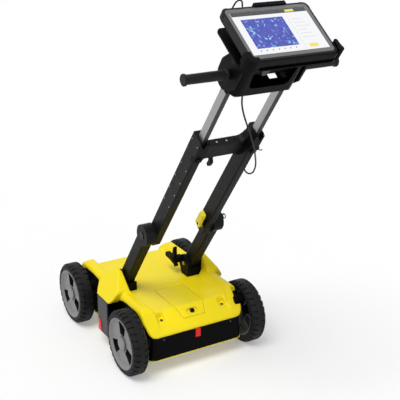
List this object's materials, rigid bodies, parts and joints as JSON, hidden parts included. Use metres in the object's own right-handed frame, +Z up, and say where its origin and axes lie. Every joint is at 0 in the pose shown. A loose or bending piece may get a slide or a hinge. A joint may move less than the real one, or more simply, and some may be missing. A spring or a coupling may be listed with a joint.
{
  "type": "ground penetrating radar cart",
  "caption": "Push cart for ground radar: moulded body between four wheels, folding telescopic handle, and a tilting tablet console.",
  "frame": {"origin": "on the ground, under the middle of the whole cart's box", "axes": "+X to the user's right, +Y ahead of the user, +Z up"},
  "size_m": [0.514, 1.1252, 1.2736],
  "materials": {
    "cover_yellow": "glossy moulded plastic",
    "skid_yellow": "painted, worn underneath",
    "lever_yellow": "moulded",
    "housing_black": "smooth moulded plastic",
    "panel_grey": "moulded, fine grain",
    "marker_red": "moulded",
    "steel": "machined",
    "pin_dark": "blackened steel",
    "antenna_dark": "moulded",
    "unit_alloy": "cast, finned",
    "battery_black": "moulded",
    "tyre_rubber": "solid rubber with shoulder blocks",
    "rim_grey": "moulded, satin",
    "moulded_black": "moulded, fine grain",
    "arm_black": "powder coated",
    "tube_alloy": "brushed",
    "grip_rubber": "matte",
    "tablet_case": "rugged moulding",
    "display": "lit display under a cover",
    "cable_black": "sheathed cable"
  },
  "bodies": {
    "chassis": {"top_cover": "cover_yellow", "hatch_pins": "steel", "lower_housing": "housing_black", "skid_plate": "skid_yellow", "side_panels": "panel_grey", "markers": "marker_red", "cover_screws": "steel", "antenna_unit": "antenna_dark", "control_unit": "unit_alloy", "battery_pack": "battery_black", "stub_axles": "steel", "wheel_bearings": "steel", "axle_nuts": "steel", "axle_caps": "rim_grey", "encoder": "housing_black", "foot_brackets": "moulded_black", "pivot_pins": "steel"},
    "wheel_front_left": {"tyre_front_left": "tyre_rubber", "rim_front_left": "rim_grey"},
    "wheel_front_right": {"tyre_front_right": "tyre_rubber", "rim_front_right": "rim_grey"},
    "wheel_rear_left": {"tyre_rear_left": "tyre_rubber", "rim_rear_left": "rim_grey"},
    "wheel_rear_right": {"tyre_rear_right": "tyre_rubber", "rim_rear_right": "rim_grey"},
    "encoder_roller": {"encoder_roller": "housing_black"},
    "hatch": {"hatch": "cover_yellow"},
    "hatch_latch": {"hatch_latch": "moulded_black"},
    "foot_knob": {"foot_knob": "moulded_black"},
    "lower_frame": {"lower_arm_left": "arm_black", "lower_arm_right": "arm_black", "elbow_pins": "pin_dark"},
    "elbow_lever": {"elbow_lever": "lever_yellow"},
    "elbow_ring": {"elbow_ring": "pin_dark"},
    "upper_frame": {"sleeve_left": "arm_black", "sleeve_right": "arm_black", "cross_brace": "arm_black", "sleeve_collars": "moulded_black", "sleeve_rivets": "steel", "cable_gland": "moulded_black", "lead": "cable_black"},
    "height_button": {"height_button": "moulded_black"},
    "handle_frame": {"tube_left": "tube_alloy", "tube_right": "tube_alloy", "side_plates": "moulded_black", "handlebar": "arm_black", "grips": "grip_rubber", "chin": "moulded_black"},
    "console": {"tilt_yoke": "moulded_black", "console_plate": "moulded_black", "cradle": "moulded_black", "tablet": "tablet_case", "tablet_screen": "display", "tablet_tail": "cable_black"},
    "tilt_knob": {"tilt_knob": "moulded_black"},
    "tablet_clamp": {"tablet_clamp": "moulded_black"},
    "tablet_button_1": {"tablet_button_1": "tablet_case"},
    "tablet_button_2": {"tablet_button_2": "tablet_case"},
    "tablet_button_3": {"tablet_button_3": "tablet_case"}
  },
  "joints": [
    {"name": "wheel_front_left_spin", "type": "hinge", "parent": "chassis", "child": "wheel_front_left", "pos_m": [-0.229, 0.4501, 0.1125], "axis": [1, 0, 0], "continuous": true},
    {"name": "wheel_front_right_spin", "type": "hinge", "parent": "chassis", "child": "wheel_front_right", "pos_m": [0.229, 0.4501, 0.1125], "axis": [1, 0, 0], "continuous": true},
    {"name": "wheel_rear_left_spin", "type": "hinge", "parent": "chassis", "child": "wheel_rear_left", "pos_m": [-0.229, 0.0161, 0.1125], "axis": [1, 0, 0], "continuous": true},
    {"name": "wheel_rear_right_spin", "type": "hinge", "parent": "chassis", "child": "wheel_rear_right", "pos_m": [0.229, 0.0161, 0.1125], "axis": [1, 0, 0], "continuous": true},
    {"name": "encoder_spin", "type": "hinge", "parent": "chassis", "child": "encoder_roller", "pos_m": [0.211, -0.01391, 0.1775], "axis": [1, 0, 0], "continuous": true},
    {"name": "hatch_hinge", "type": "hinge", "parent": "chassis", "child": "hatch", "pos_m": [0, 0.1456, 0.201], "axis": [-1, 0, 0], "range_deg": [0, 75]},
    {"name": "latch_turn", "type": "hinge", "parent": "hatch", "child": "hatch_latch", "pos_m": [0, -0.01791, 0.1872], "axis": [0, -0.6247, 0.7809], "range_deg": [0, 90]},
    {"name": "foot_knob_turn", "type": "hinge", "parent": "chassis", "child": "foot_knob", "pos_m": [0.085, 0.2411, 0.26], "axis": [1, 0, 0], "continuous": true},
    {"name": "base_pivot", "type": "hinge", "parent": "chassis", "child": "lower_frame", "pos_m": [0, 0.2171, 0.248], "axis": [1, 0, 0], "range_deg": [-15, 10]},
    {"name": "elbow_fold", "type": "hinge", "parent": "lower_frame", "child": "upper_frame", "pos_m": [0, 0.05687, 0.46532], "axis": [-1, 0, 0], "range_deg": [0, 120]},
    {"name": "elbow_lever_open", "type": "hinge", "parent": "lower_frame", "child": "elbow_lever", "pos_m": [0.071, 0.05687, 0.46532], "axis": [0, -0.8049, -0.5934], "range_deg": [0, 100]},
    {"name": "elbow_ring_pull", "type": "slide", "parent": "lower_frame", "child": "elbow_ring", "axis": [1, 0, 0], "range_m": [0, 0.006], "stiffness_N_per_m": 600},
    {"name": "height_button_press", "type": "slide", "parent": "upper_frame", "child": "height_button", "axis": [1, 0, 0], "range_m": [0, 0.003], "stiffness_N_per_m": 600},
    {"name": "handle_slide", "type": "slide", "parent": "upper_frame", "child": "handle_frame", "axis": [0, -0.5934, 0.8049], "range_m": [-0.15, 0.04], "deforming": ["lead"]},
    {"name": "console_tilt", "type": "hinge", "parent": "handle_frame", "child": "console", "pos_m": [0, -0.42736, 1.12211], "axis": [1, 0, 0], "range_deg": [-25, 6]},
    {"name": "tilt_knob_turn", "type": "hinge", "parent": "console", "child": "tilt_knob", "pos_m": [-0.02, -0.42955, 1.09813], "axis": [0, -0.8049, -0.5934], "continuous": true},
    {"name": "tablet_clamp_lift", "type": "slide", "parent": "console", "child": "tablet_clamp", "axis": [0, 0.8049, 0.5934], "range_m": [0, 0.02], "stiffness_N_per_m": 300, "springref_m": -0.01},
    {"name": "tablet_button_1_press", "type": "slide", "parent": "console", "child": "tablet_button_1", "axis": [0, 0.5934, -0.8049], "range_m": [0, 0.001], "stiffness_N_per_m": 400},
    {"name": "tablet_button_2_press", "type": "slide", "parent": "console", "child": "tablet_button_2", "axis": [0, 0.5934, -0.8049], "range_m": [0, 0.001], "stiffness_N_per_m": 400},
    {"name": "tablet_button_3_press", "type": "slide", "parent": "console", "child": "tablet_button_3", "axis": [0, 0.5934, -0.8049], "range_m": [0, 0.001], "stiffness_N_per_m": 400}
  ],
  "couplings": [
    {"joint": "encoder_spin", "follows": "wheel_rear_right_spin", "ratio": 8.48}
  ]
}
